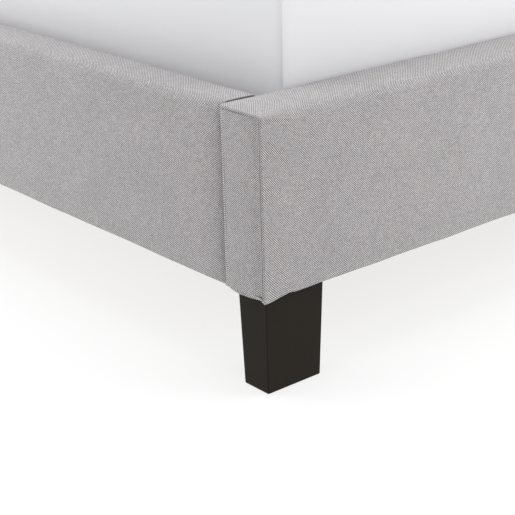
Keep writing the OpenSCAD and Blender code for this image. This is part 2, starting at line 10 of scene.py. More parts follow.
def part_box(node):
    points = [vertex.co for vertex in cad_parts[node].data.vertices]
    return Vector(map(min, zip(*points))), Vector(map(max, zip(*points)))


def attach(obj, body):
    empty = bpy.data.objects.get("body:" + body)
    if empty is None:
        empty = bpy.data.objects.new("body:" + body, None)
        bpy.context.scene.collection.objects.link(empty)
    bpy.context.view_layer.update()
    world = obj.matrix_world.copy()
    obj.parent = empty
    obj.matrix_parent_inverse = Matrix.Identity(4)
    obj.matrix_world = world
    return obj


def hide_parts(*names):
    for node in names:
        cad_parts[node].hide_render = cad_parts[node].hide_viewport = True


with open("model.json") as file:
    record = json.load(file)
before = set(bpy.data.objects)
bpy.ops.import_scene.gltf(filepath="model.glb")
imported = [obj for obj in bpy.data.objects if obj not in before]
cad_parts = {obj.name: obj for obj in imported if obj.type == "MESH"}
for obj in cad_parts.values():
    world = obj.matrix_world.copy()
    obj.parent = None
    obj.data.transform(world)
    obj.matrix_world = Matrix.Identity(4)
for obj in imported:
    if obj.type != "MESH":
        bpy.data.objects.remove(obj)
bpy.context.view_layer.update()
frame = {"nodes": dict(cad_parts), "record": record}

MM = 0.001
BODY = "frame"
UV_NAME = "weave"
# the mesh attribute that carries painted shade in seams, joints, creases and the quilting
SHADE_NAME = "painted_shade"


# ---------- sizes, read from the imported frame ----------

def node_box(name):
    low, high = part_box(name)
    return np.array(low), np.array(high)


panel_low, panel_high = node_box("foot_rail_end_panel_right")
HALF_W = panel_high[0]                 # outer face of the foot rail's ends
FOOT_Y0, FOOT_Y1 = panel_low[1], panel_high[1]
LEG_TOP, RAIL_TOP = panel_low[2], panel_high[2]
side_low, side_high = node_box("side_rail_cover_right")
mattress_low, mattress_high = node_box("mattress_cover")
head_low, head_high = node_box("headboard_end_panel_right")


# ---------- outlines and meshes ----------

def rounded_outline(corners, spacing, arc_steps=8):
    """Closed anticlockwise outline through (a, b, radius) corners: points, outward normals, arc lengths."""
    pts, nrm = [], []
    n = len(corners)
    for i in range(n):
        prev, here, after = (np.array(corners[k % n][:2], float) for k in (i - 1, i, i + 1))
        radius, next_radius = corners[i][2], corners[(i + 1) % n][2]
        d0, d1 = (here - prev), (after - here)
        d0, d1 = d0 / np.linalg.norm(d0), d1 / np.linalg.norm(d1)
        turn = math.atan2(d0[0] * d1[1] - d0[1] * d1[0], d0 @ d1)
        cut = radius * math.tan(abs(turn) / 2)
        side = math.copysign(1.0, turn)
        start_n = np.array([d0[1], -d0[0]])
        centre = here - d0 * cut - side * start_n * radius
        for k in range(arc_steps + 1):
            a = turn * k / arc_steps
            m = np.array([start_n[0] * math.cos(a) - start_n[1] * math.sin(a),
                          start_n[0] * math.sin(a) + start_n[1] * math.cos(a)])
            pts.append(centre + side * m * radius)
            nrm.append(m)
        d2 = np.array(corners[(i + 2) % n][:2], float) - after
        d2 = d2 / np.linalg.norm(d2)
        next_turn = math.atan2(d1[0] * d2[1] - d1[1] * d2[0], d1 @ d2)
        end = after - d1 * next_radius * math.tan(abs(next_turn) / 2)
        start = pts[-1]
        steps = max(1, round(np.linalg.norm(after - here) / spacing))
        for k in range(1, steps):
            pts.append(start + (end - start) * k / steps)
            nrm.append(np.array([d1[1], -d1[0]]))
    pts, nrm = np.array(pts), np.array(nrm)
    lengths = np.linalg.norm(np.roll(pts, -1, axis=0) - pts, axis=1)
    return pts, nrm, np.concatenate([[0], np.cumsum(lengths)])


def waves(seed, count=6, shortest=0.08, longest=0.5):
    """A smooth random function of two coordinates, within about -1 to 1."""
    rng = np.random.default_rng(seed)
    angle = rng.uniform(0, 2 * math.pi, count)
    number = 2 * math.pi / rng.uniform(shortest, longest, count)
    phase = rng.uniform(0, 2 * math.pi, count)

    def value(a, b):
        total = 0.0
        for k in range(count):
            total = total + np.sin(number[k] * (a * math.cos(angle[k]) + b * math.sin(angle[k])) + phase[k])
        return total / math.sqrt(count)

    return value


def new_object(name, verts, faces, uvs=None, painted_shade=None, smooth=True):
    """A mesh object. uvs holds one pair for each face corner, in the faces' order."""
    mesh = bpy.data.meshes.new(name)
    mesh.from_pydata([tuple(v) for v in verts], [], [tuple(int(i) for i in f) for f in faces])
    if uvs is not None:
        layer = mesh.uv_layers.new(name=UV_NAME)
        layer.data.foreach_set("uv", np.asarray(uvs, dtype=np.float32).ravel())
    if painted_shade is not None:
        attribute = mesh.attributes.new(SHADE_NAME, "FLOAT", "POINT")
        attribute.data.foreach_set("value", np.asarray(painted_shade, dtype=np.float32).ravel())
    mesh.polygons.foreach_set("use_smooth", [smooth] * len(mesh.polygons))
    shell = bmesh.new()
    shell.from_mesh(mesh)
    bmesh.ops.recalc_face_normals(shell, faces=shell.faces)
    shell.to_mesh(mesh)
    shell.free()
    mesh.update()
    obj = bpy.data.objects.new(name, mesh)
    bpy.context.scene.collection.objects.link(obj)
    return obj


def grid_parts(points, u, v, closed, offset=0):
    """Faces and corner UVs of a grid points[i, j]. A closed grid joins its last column to its first."""
    rows, cols = points.shape[:2]
    i, j = np.meshgrid(np.arange(rows - 1), np.arange(cols if closed else cols - 1), indexing="ij")
    k = (j + 1) % cols
    faces = np.stack([i * cols + j, (i + 1) * cols + j, (i + 1) * cols + k, i * cols + k], -1).reshape(-1, 4)
    corner_uv = np.stack([np.stack([u[i, j], v[i, j]], -1), np.stack([u[i + 1, j], v[i + 1, j]], -1),
                          np.stack([u[i + 1, j + 1], v[i + 1, j + 1]], -1),
                          np.stack([u[i, j + 1], v[i, j + 1]], -1)], 2)
    return faces + offset, corner_uv.reshape(-1, 2)


def sweep(name, outlines, stations, place, shape=None, painted_shade=None, weave=(1.0, 1.0)):
    """Sweeps a closed outline through stations (t, inset, blend) and caps the ends.
    blend goes from the first outline to the second. place(t, a, b) gives x, y, z arrays,
    shape(t, a, b, na, nb, s) gives shifted a and b, and seam(t, a, b, inset) gives the seam attribute."""
    (pts_a, nrm_a, s_a), (pts_b, _, _) = outlines
    t = np.array([st[0] for st in stations])[:, None]
    inset = np.array([st[1] for st in stations])[:, None]
    blend = np.array([st[2] for st in stations])[:, None]
    a = pts_a[None, :, 0] * (1 - blend) + pts_b[None, :, 0] * blend - nrm_a[None, :, 0] * inset
    b = pts_a[None, :, 1] * (1 - blend) + pts_b[None, :, 1] * blend - nrm_a[None, :, 1] * inset
    t = np.broadcast_to(t, a.shape)
    if shape:
        a, b = shape(t, a, b, nrm_a[None, :, 0], nrm_a[None, :, 1], s_a[None, :-1])
    points = np.stack(place(t, a, b), -1)
    along = np.concatenate([[0], np.cumsum([math.hypot(stations[i + 1][0] - stations[i][0],
                                                       stations[i + 1][1] - stations[i][1])
                                            for i in range(len(stations) - 1)])])
    u = np.broadcast_to((along[:, None] + stations[0][0]) * weave[0], (len(stations), len(s_a)))
    v = np.broadcast_to(s_a[None, :] * weave[1], u.shape)
    faces, uvs = grid_parts(points, u, v, True)
    cols = points.shape[1]
    faces = [list(f) for f in faces]
    first, last = list(range(cols)), [(len(stations) - 1) * cols + k for k in range(cols)]
    faces += [first, last[::-1]]
    cap_uv = [points[0, k][[1, 2]] for k in first] + [points[-1, k][[1, 2]] for k in range(cols)][::-1]
    uvs = np.concatenate([uvs, np.array(cap_uv)])
    values = None if painted_shade is None else painted_shade(t, a, b, inset)
    return new_object(name, points.reshape(-1, 3), faces, uvs, values)


def finish_piece(obj, material, nodes, body=BODY):
    obj.data.materials.clear()
    obj.data.materials.append(material)
    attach(obj, body)
    if nodes:
        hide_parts(*nodes)
    return obj


# ---------- materials ----------

class Graph:
    """A material's node tree with one Principled shader."""

    def __init__(self, name):
        self.material = bpy.data.materials.new(name)
        self.material.use_nodes = True
        self.tree = self.material.node_tree
        self.shader = next(n for n in self.tree.nodes if n.type == "BSDF_PRINCIPLED")

    def node(self, kind, inputs=(), **values):
        made = self.tree.nodes.new(kind)
        for key, value in values.items():
            setattr(made, key, value)
        for key, value in dict(inputs).items():
            self.put(made.inputs[key], value)
        return made

    def put(self, socket, value):
        if isinstance(value, bpy.types.NodeSocket):
            self.tree.links.new(value, socket)
        else:
            socket.default_value = value

    def math(self, operation, a, b=0.0, c=0.0, clamp=False):
        made = self.tree.nodes.new("ShaderNodeMath")
        made.operation, made.use_clamp = operation, clamp
        for socket, value in zip(made.inputs, (a, b, c)):
            self.put(socket, value)
        return made.outputs[0]

    def mix(self, factor, a, b, blend="MIX"):
        made = self.tree.nodes.new("ShaderNodeMix")
        made.data_type, made.blend_type = "RGBA", blend
        sockets = [s for s in made.inputs if s.enabled]
        for socket, value in zip(sockets, (factor, a, b)):
            self.put(socket, value)
        return next(s for s in made.outputs if s.enabled)

    def noise(self, vector, scale, detail=2.0, rough=0.5):
        made = self.node("ShaderNodeTexNoise", {"Vector": vector, "Scale": scale, "Detail": detail,
                                                "Roughness": rough})
        return made.outputs[0]

    def stretch(self, vector, x, y, z=1.0):
        made = self.node("ShaderNodeVectorMath", operation="MULTIPLY")
        self.put(made.inputs[0], vector)
        made.inputs[1].default_value = (x, y, z)
        return made.outputs[0]

    def spread(self, value, low, high):
        """Maps a 0 to 1 value to low to high."""
        return self.math("MULTIPLY_ADD", value, high - low, low)

    def bump(self, height, distance, strength=1.0):
        made = self.node("ShaderNodeBump", {"Strength": strength, "Distance": distance, "Height": height})
        self.put(self.shader.inputs["Normal"], made.outputs[0])

    def set(self, **values):
        for key, value in values.items():
            self.put(self.shader.inputs[key.replace("_", " ")], value)


def grey(value, alpha=1.0):
    return (value, value, value, alpha)


WEAVE_ACROSS = 3.1 * MM      # two yarns along a panel
WEAVE_UP = 2.98 * MM         # two yarns up a panel
WEAVE_DRIFT = 0.7 * MM       # how far the yarns wander
YARN_EDGE = 5.0              # how sharply one yarn gives way to the other
TOP_SMOOTHING = 0.32         # share of the contrast lost where the cloth faces up
SEAM_SHADE_LEVEL = 0.10            # painted shade: brightness left at the bottom of a seam groove
LIGHT_YARN = ((0.575, 0.55, 0.55, 1.0), (0.665, 0.65, 0.665, 1.0))
DARK_YARN = ((0.016, 0.011, 0.010, 1.0), (0.060, 0.054, 0.057, 1.0))


def upholstery():
    """A plain weave of a lighter and a darker melange yarn."""
    g = Graph("upholstery_fabric")
    uv = g.node("ShaderNodeUVMap", uv_map=UV_NAME).outputs[0]
    drift = g.node("ShaderNodeTexNoise", {"Vector": uv, "Scale": 28.0, "Detail": 1.0}).outputs[1]
    shift = g.node("ShaderNodeVectorMath", operation="MULTIPLY_ADD")
    g.put(shift.inputs[0], drift)
    shift.inputs[1].default_value = (WEAVE_DRIFT, WEAVE_DRIFT, 0.0)
    g.put(shift.inputs[2], uv)
    moved = shift.outputs[0]
    parts = g.node("ShaderNodeSeparateXYZ", {"Vector": moved}).outputs
    yarn_u = g.math("MULTIPLY", parts[0], 2 / WEAVE_ACROSS)
    yarn_v = g.math("MULTIPLY", parts[1], 2 / WEAVE_UP)
    crossing = g.math("MULTIPLY", g.math("SINE", g.math("MULTIPLY", yarn_u, math.pi)),
                      g.math("SINE", g.math("MULTIPLY", yarn_v, math.pi)))
    over = g.math("MULTIPLY_ADD", g.math("TANH", g.math("MULTIPLY", crossing, YARN_EDGE)), 0.5, 0.5)
    # less contrast where the cloth lies flat over the tops
    facing = g.node("ShaderNodeNewGeometry").outputs["Normal"]
    upward = g.node("ShaderNodeSeparateXYZ", {"Vector": facing}).outputs[2]
    smoother = g.math("MULTIPLY", upward, TOP_SMOOTHING, clamp=True)
    over = g.math("MULTIPLY_ADD", g.math("SUBTRACT", 0.5, over), smoother, over)
    crown = g.math("POWER", g.math("ABSOLUTE", crossing), 0.6)
    crossing_id = g.node("ShaderNodeCombineXYZ", {"X": g.math("FLOOR", yarn_u), "Y": g.math("FLOOR", yarn_v)})
    one_by_one = g.node("ShaderNodeTexWhiteNoise", {"Vector": crossing_id.outputs[0]}).outputs[0]

    slub_u = g.noise(g.stretch(moved, 60.0, 420.0), 1.0, 2.0, 0.6)
    slub_v = g.noise(g.stretch(moved, 420.0, 60.0), 1.0, 2.0, 0.6)
    fibre = g.noise(moved, 1100.0, 2.0, 0.7)
    cloud = g.noise(moved, 14.0, 3.0, 0.6)
    light = g.mix(slub_u, *LIGHT_YARN)
    dark = g.mix(slub_v, *DARK_YARN)
    level = g.math("MULTIPLY", g.spread(one_by_one, 0.86, 1.14), g.spread(fibre, 0.90, 1.10))
    slubs = g.math("MULTIPLY", g.spread(slub_u, 0.90, 1.10), g.spread(slub_v, 0.90, 1.10))
    level = g.math("MULTIPLY", level, slubs)
    level = g.math("MULTIPLY", level, g.spread(cloud, 0.92, 1.08))
    # painted shade: the cloth is darkened by the mesh attribute that marks the seam grooves, the slit between
    # the rails and the crease of a tuck
    painted_shade = g.node("ShaderNodeAttribute", attribute_name=SHADE_NAME).outputs[2]
    level = g.math("MULTIPLY", level, g.spread(painted_shade, 1.0, SEAM_SHADE_LEVEL))
    levels = g.node("ShaderNodeCombineXYZ", {"X": level, "Y": level, "Z": level}).outputs[0]
    g.set(Base_Color=g.mix(1.0, g.mix(over, dark, light), levels, "MULTIPLY"), Roughness=0.92)
    g.shader.inputs["Specular IOR Level"].default_value = 0.12
    g.shader.inputs["Sheen Weight"].default_value = 0.08
    g.shader.inputs["Sheen Roughness"].default_value = 0.45
    g.bump(g.math("MULTIPLY_ADD", fibre, 0.5, crown), 0.25 * MM, 0.5)
    return g.material


def ticking():
    """White knitted mattress cloth with a fine rib."""
    g = Graph("mattress_ticking")
    uv = g.node("ShaderNodeUVMap", uv_map=UV_NAME).outputs[0]
    parts = g.node("ShaderNodeSeparateXYZ", {"Vector": uv}).outputs
    rib = g.math("SINE", g.math("MULTIPLY", parts[0], 2 * math.pi / (2.4 * MM)))
    row = g.math("SINE", g.math("MULTIPLY", parts[1], 2 * math.pi / (1.8 * MM)))
    knit = g.math("MULTIPLY_ADD", g.math("MULTIPLY", rib, row), 0.5, 0.5)
    fuzz = g.noise(uv, 900.0, 2.0, 0.6)
    colour = g.mix(knit, (0.68, 0.68, 0.70, 1.0), (0.73, 0.73, 0.745, 1.0))
    # painted shade: quilted panels darker than the border, to hold down the light falling on the top, and the
    # quilting lines darker still
    quilt_shade = g.node("ShaderNodeAttribute", attribute_name=SHADE_NAME).outputs[2]
    level = g.math("MULTIPLY", g.spread(fuzz, 0.94, 1.06), g.spread(quilt_shade, 1.0, 0.70))
    levels = g.node("ShaderNodeCombineXYZ", {"X": level, "Y": level, "Z": level}).outputs[0]
    g.set(Base_Color=g.mix(1.0, colour, levels, "MULTIPLY"), Roughness=0.85)
    g.shader.inputs["Specular IOR Level"].default_value = 0.2
    g.shader.inputs["Sheen Weight"].default_value = 0.1
    g.bump(knit, 0.2 * MM, 0.4)
    return g.material


def leg_lacquer():
    """Black-brown satin lacquer over a faint upright grain."""
    g = Graph("leg_lacquer")
    where = g.node("ShaderNodeTexCoord").outputs["Object"]
    grain = g.noise(g.stretch(where, 260.0, 260.0, 12.0), 1.0, 4.0, 0.6)
    g.set(Base_Color=g.mix(grain, (0.0178, 0.0150, 0.0115, 1.0), (0.0210, 0.0182, 0.0142, 1.0)),
          Roughness=0.55)
    g.shader.inputs["Specular IOR Level"].default_value = 0.05
    g.bump(grain, 0.05 * MM, 0.3)
    return g.material


def wood(name, dark, light, along, rough):
    """Sawn timber whose grain runs along one axis: 0, 1 or 2."""
    g = Graph(name)
    where = g.node("ShaderNodeTexCoord").outputs["Object"]
    scale = [90.0, 90.0, 90.0]
    scale[along] = 4.0
    grain = g.noise(g.stretch(where, *scale), 1.0, 5.0, 0.65)
    fine = g.noise(g.stretch(where, *[6 * s for s in scale]), 1.0, 2.0, 0.6)
    mixed = g.math("MULTIPLY_ADD", fine, 0.35, g.math("MULTIPLY", grain, 0.75))
    g.set(Base_Color=g.mix(mixed, dark, light), Roughness=rough)
    g.bump(mixed, 0.1 * MM, 0.4)
    return g.material


def plain(name, colour, rough, metal=0.0, mottle=0.06):
    g = Graph(name)
    where = g.node("ShaderNodeTexCoord").outputs["Object"]
    speck = g.noise(where, 400.0, 3.0, 0.6)
    low = tuple(c * (1 - mottle) for c in colour) + (1.0,)
    high = tuple(min(1.0, c * (1 + mottle)) for c in colour) + (1.0,)
    g.set(Base_Color=g.mix(speck, low, high), Roughness=rough, Metallic=metal)
    g.bump(speck, 0.05 * MM, 0.25)
    return g.material


MATERIALS = {
    "upholstery": upholstery(),
    "ticking": ticking(),
    "leg_finish": leg_lacquer(),
    "foam": plain("foam", (0.80, 0.76, 0.62), 0.95),
    "board": wood("board", (0.46, 0.32, 0.19, 1.0), (0.66, 0.50, 0.33, 1.0), 0, 0.7),
    "birch": wood("birch_ply", (0.58, 0.42, 0.26, 1.0), (0.78, 0.63, 0.43, 1.0), 0, 0.42),
    "zinc_steel": plain("zinc_steel", (0.55, 0.56, 0.57), 0.38, 1.0),
    "black_steel": plain("black_steel", (0.030, 0.030, 0.032), 0.5),
    "black_plastic": plain("black_plastic", (0.018, 0.018, 0.018), 0.55),
}

for part in frame["record"]["subparts"]:
    cad = frame["nodes"][part["node"]]
    cad.data.materials.clear()
    cad.data.materials.append(MATERIALS[part["material_slot"]])


# ---------- rails ----------

SIDE_WEAVE = (0.86, 1.10)    # how the cloth is stretched on the side rails, against the foot rail
PANEL_WEAVE = (0.98, 1.085)  # the same on the end panels

# How deep an end panel lies beside its seam:
# a low ridge over the turned-in cloth, a dip, then the full pillow.
PANEL_DIP = np.array([[0, 1.2, 2.6, 3.8, 5.0, 6.5, 9.0, 12.0, 16.0, 22.0, 34.0],
                      [1.2, 1.0, 1.5, 2.6, 3.2, 3.1, 2.3, 1.5, 0.85, 0.4, 0.0]]) * MM
EDGE_R = 14 * MM             # rounding of a rail's long top edges
END_EDGE_R = 1.6 * MM        # the same beside the seam of an end panel
HEM_R = 3 * MM               # rounding of a rail's bottom edges
CROWN_FOOT = 2.8 * MM        # how much a rail's top is crowned
CROWN_SIDE = 2.6 * MM
BELLY = 0.7 * MM             # how much a rail's sides are
SLIT_GAPE = 2.6 * MM         # how far the joint of the rails gapes mid-way
END_TURN = (16 * MM, 6 * MM)  # length and depth of the turn of a side rail's outside into its end
END_EASE = (48 * MM, 6 * MM)  # the same of the long easing before it
SEAM_IN = 4.0 * MM           # how far the seam lies inside an end's outline
HANG = 3.9 * MM              # how far the cloth hangs over the top of a leg at the corner
HITCH = 1.3 * MM             # how far it is drawn up beside that


def smooth_step(x):
    x = np.clip(x, 0, 1)
    return x * x * (3 - 2 * x)


def spaced(start, end, step):
    return list(np.linspace(start, end, max(2, round(abs(end - start) / step) + 1)))


def foot_rail():
    depth, height = FOOT_Y1 - FOOT_Y0, RAIL_TOP - LEG_TOP
    shapes = [rounded_outline([(0, 0, HEM_R), (depth, 0, HEM_R), (depth, height, inner), (0, height, outer)],
                              5 * MM) for inner, outer in ((EDGE_R * 0.4, EDGE_R), (3 * MM, 5 * MM))]
    ripple, edge_ripple = waves(11), waves(12, shortest=0.04, longest=0.25)
    ends = []
    for k in range(9):                                     # round the corner onto the end
        a = math.pi / 2 * k / 8
        ends.append((END_EDGE_R * (1 - math.sin(a)), END_EDGE_R * (1 - math.cos(a)), 1.0))
    groove = [(0.006, SEAM_IN + 4 * MM, 1.0), (0.0040, SEAM_IN + 0.3 * MM, 1.0), (0.0010, SEAM_IN, 1.0)]
    left = groove + [(0.0004, SEAM_IN - 0.7 * MM, 1.0)] + [(x, inset, w) for x, inset, w in reversed(ends)]
    for x in spaced(END_EDGE_R, 0.15, 3 * MM)[1:]:
        left.append((x, 0.0, 1 - smooth_step((x - 0.006) / 0.06)))
    stations = [(-HALF_W + x, i, w) for x, i, w in left]
    stations += [(x, 0.0, 0.0) for x in spaced(-HALF_W + 0.15, HALF_W - 0.15, 7 * MM)[1:-1]]
    stations += [(HALF_W - x, i, w) for x, i, w in reversed(left)]

    def shape(t, a, b, na, nb, s):
        from_end = HALF_W - np.abs(t)
        crown = CROWN_FOOT * np.sin(np.pi * np.clip(a / depth, 0, 1)) * (nb > 0.5)
        belly = BELLY * np.sin(np.pi * np.clip(b / height, 0, 1)) * (np.abs(na) > 0.5)
        fade = smooth_step(from_end / 0.02)
        d = (crown + belly + 0.35 * MM * ripple(t, s)) * fade + 0.15 * MM * edge_ripple(t, s) * fade
        hang = HANG * (1 - smooth_step((from_end - 0.006) / 0.030))
        hang = hang - HITCH * np.exp(-((from_end - 0.043) / 0.007) ** 2)
        low = (1 - smooth_step(b / 0.045)) * (1 - smooth_step((a - 0.001) / 0.008))
        # at its ends the inner side turns in behind the end panels
        turn = np.clip(1 - from_end / (9 * MM), 0, 0.999)
        inside = 7 * MM * (1 - np.sqrt(1 - turn ** 2)) * np.clip(na, 0, 1)
        return a + na * d - inside, b + nb * d - hang * low

    # painted shade in the seam groove round each end, stopping 12 mm short of the inner side
    def painted_shade(t, a, b, inset):
        return 0.7 * (inset > SEAM_IN - 0.3 * MM) * (a < depth - 0.012)

    obj = sweep("foot_rail_fabric", shapes, stations,
                lambda t, a, b: (t, FOOT_Y0 + a, LEG_TOP + b), shape, painted_shade)
    return finish_piece(obj, MATERIALS["upholstery"],
                        ["foot_rail_cover", "foot_rail_foam"])


def end_panel(side):
    """The separate panel let into an end of the foot rail. side is -1 or 1."""
    depth, height = FOOT_Y1 - FOOT_Y0, RAIL_TOP - LEG_TOP
    rows, cols = 120, 56
    b = np.linspace(0, 1, rows)[:, None]
    b = np.where(b < 0.5, 2 * b * b, 1 - 2 * (1 - b) ** 2) * 0.35 + b * 0.65
    a = np.linspace(0, 1, cols)[None, :]
    a = np.where(a < 0.5, 2 * a * a, 1 - 2 * (1 - a) ** 2) * 0.6 + a * 0.4
    wander = waves(21 + side, shortest=0.05, longest=0.2)
    y0, y1 = SEAM_IN, depth + 0.6 * MM
    y = y0 + (y1 - y0) * a + 0 * b
    top = height - 2.2 * MM - 1.2 * MM * (y - y0) / (y1 - y0)
    hang = np.interp(y, [0.0, 0.016, 0.030, 0.040, 0.048, 0.056, 0.066, 0.076],
                     [1.0 * MM, 0.7 * MM, 1.9 * MM, 2.1 * MM, 2.8 * MM, 2.6 * MM, 1.6 * MM, 0.2 * MM])
    bottom = -hang - 0.3 * MM
    z = bottom + (top - bottom) * b
    # the two inner corners are rounded, the upper one more
    corner_top, corner_bottom = 6.5 * MM, 7 * MM
    over_top = np.clip((z - (top - corner_top)) / corner_top, 0, 0.9999)
    over_bottom = np.clip(((bottom + corner_bottom) - z) / corner_bottom, 0, 0.9999)
    pull = corner_top * (1 - np.sqrt(1 - over_top ** 2)) + corner_bottom * (1 - np.sqrt(1 - over_bottom ** 2))
    edge_wave = 0.6 * MM * wander(z, 0.0)
    y = y - (pull - edge_wave) * a ** 3
    from_seam, from_inner = y - y0, y1 - pull + edge_wave - y
    # drawn in at the seam, a low ridge over the turned-in cloth, then a full pillow to the inner edge
    deep = np.interp(from_seam, PANEL_DIP[0], PANEL_DIP[1])
    fold = 12.0 * MM
    near_inner = np.clip(1 - from_inner / fold, 0, 0.9999)
    deep = deep + fold * (1 - np.sqrt(1 - near_inner ** 2)) * 0.5
    from_top = np.clip(top - z, 0, None)
    deep = deep + 0.7 * MM * np.exp(-from_top / (2.2 * MM)) + 0.3 * MM * wander(y * 2, z)
    # a tuck in the cloth just above its bottom edge
    tuck = np.exp(-((z - bottom - 3.2 * MM - 0.05 * (y - 0.045)) / (0.8 * MM)) ** 2) \
        * np.exp(-((y - 0.052) / 0.015) ** 4)
    deep = deep + 1.2 * MM * tuck
    x = HALF_W - np.maximum(deep, 0)
    points = np.stack([side * x, FOOT_Y0 + y, LEG_TOP + z], -1)
    # a skirt all round closes the panel behind
    ring = np.concatenate([points[0, :-1], points[:-1, -1], points[-1, :0:-1], points[:0:-1, 0]])
    skirt = ring.copy()
    skirt[:, 0] = side * (HALF_W - 9 * MM)
    ids = np.arange(rows * cols).reshape(rows, cols)
    ring_ids = np.concatenate([ids[0, :-1], ids[:-1, -1], ids[-1, :0:-1], ids[:0:-1, 0]])
    u = -(FOOT_Y0 + y) * side * PANEL_WEAVE[0]
    v = (LEG_TOP + z) * PANEL_WEAVE[1]
    faces, uvs = grid_parts(points, u, v, False)
    faces, uvs = [list(f) for f in faces], list(uvs)
    n, base = len(ring), rows * cols
    flat_u, flat_v = u.ravel(), v.ravel()
    for k in range(n):
        m = (k + 1) % n
        faces.append([ring_ids[k], base + k, base + m, ring_ids[m]])
        uvs += [(flat_u[ring_ids[q]], flat_v[ring_ids[q]]) for q in (k, k, m, m)]
    faces.append([base + k for k in range(n)][::-1])
    uvs += [(0.0, 0.0)] * n
    dist = np.minimum(from_seam, from_top)
    # painted shade in the seam groove, darkest at the corner and fading towards the inner edge, and painted
    # shade in the tuck's crease
    fading = np.clip(from_inner / (26 * MM), 0.15, 1)
    dark = np.maximum(np.exp(-(dist / (1.5 * MM)) ** 2) * fading, 0.6 * tuck)
    obj = new_object("foot_end_panel_" + ("left" if side < 0 else "right"),
                     np.concatenate([points.reshape(-1, 3), skirt]), faces, uvs,
                     np.concatenate([dark.ravel(), np.zeros(n)]))
    node = "foot_rail_end_panel_" + ("left" if side < 0 else "right")
    return finish_piece(obj, MATERIALS["upholstery"], [node])


def side_rail(side):
    name = "left" if side < 0 else "right"
    x0, z0 = side_low[0], side_low[2]
    width, height = side_high[0] - x0, RAIL_TOP - z0
    y0, y1 = side_low[1], side_high[1]
    outline = rounded_outline([(0, 0, HEM_R), (width, 0, HEM_R), (width, height, EDGE_R),
                               (0, height, EDGE_R * 0.4)], 5 * MM)
    ripple = waves(31 + side)
    round_r = 2.2 * MM
    end = [(0.0, 24 * MM), (0.0, 12 * MM)]
    end += [(round_r * (1 - math.cos(a)), round_r * (1 - math.sin(a)))
            for a in (math.pi / 2 * k / 7 for k in range(8))]
    stations = [(y0 + t, i, 0.0) for t, i in end]
    stations += [(y, 0.0, 0.0) for y in spaced(y0 + round_r, y1 - round_r, 8 * MM)[1:-1]]
    stations += [(y1 - t, i, 0.0) for t, i in reversed(end)]

    def shape(t, a, b, na, nb, s):
        from_end = np.minimum(t - y0, y1 - t)
        crown = CROWN_SIDE * np.sin(np.pi * np.clip(a / width, 0, 1)) * (nb > 0.5)
        belly = BELLY * np.sin(np.pi * np.clip(b / height, 0, 1)) * (np.abs(na) > 0.5)
        d = (crown + belly + 0.4 * MM * ripple(t, s)) * smooth_step(from_end / 0.03)
        turn = np.clip(1 - from_end / END_TURN[0], 0, 0.999)
        ease = np.clip(1 - from_end / END_EASE[0], 0, 1)
        outside = (END_TURN[1] * (1 - np.sqrt(1 - turn ** 2)) + END_EASE[1] * ease ** 2) * np.clip(na, 0, 1)
        return a + na * d - outside, b + nb * d

    def place(t, a, b):
        # the joint with the foot rail gapes a little mid-way across
        gape = SLIT_GAPE * np.sin(np.pi * np.clip(a / width, 0, 1)) * (1 - smooth_step((t - y0) / 0.02))
        return side * (x0 + a), t + gape, z0 + b

    # painted shadow in the slit between this rail's end and the foot rail, strongest towards the top
    def painted_shade(t, a, b, inset):
        near_top = np.clip(1 - (height - b) / 0.012, 0, 1)
        return 0.95 * near_top * np.clip(1.2 - (t - y0) / (1.6 * MM), 0, 1)

    obj = sweep("side_rail_fabric_" + name, [outline, outline], stations, place, shape, painted_shade,
                weave=SIDE_WEAVE)
    return finish_piece(obj, MATERIALS["upholstery"],
                        ["side_rail_cover_" + name, "side_rail_foam_" + name])


foot_rail()
for s in (-1, 1):
    end_panel(s)
    side_rail(s)


# ---------- headboard ----------

HEAD_T = 75 * MM             # thickness of the headboard's upright part
CURVE_R = 450 * MM           # of its back face
ROLL_R = 60 * MM
CURVE_ANGLE = math.radians(35)
SQUARE_END = 150 * MM        # height of the end panels' square bottoms


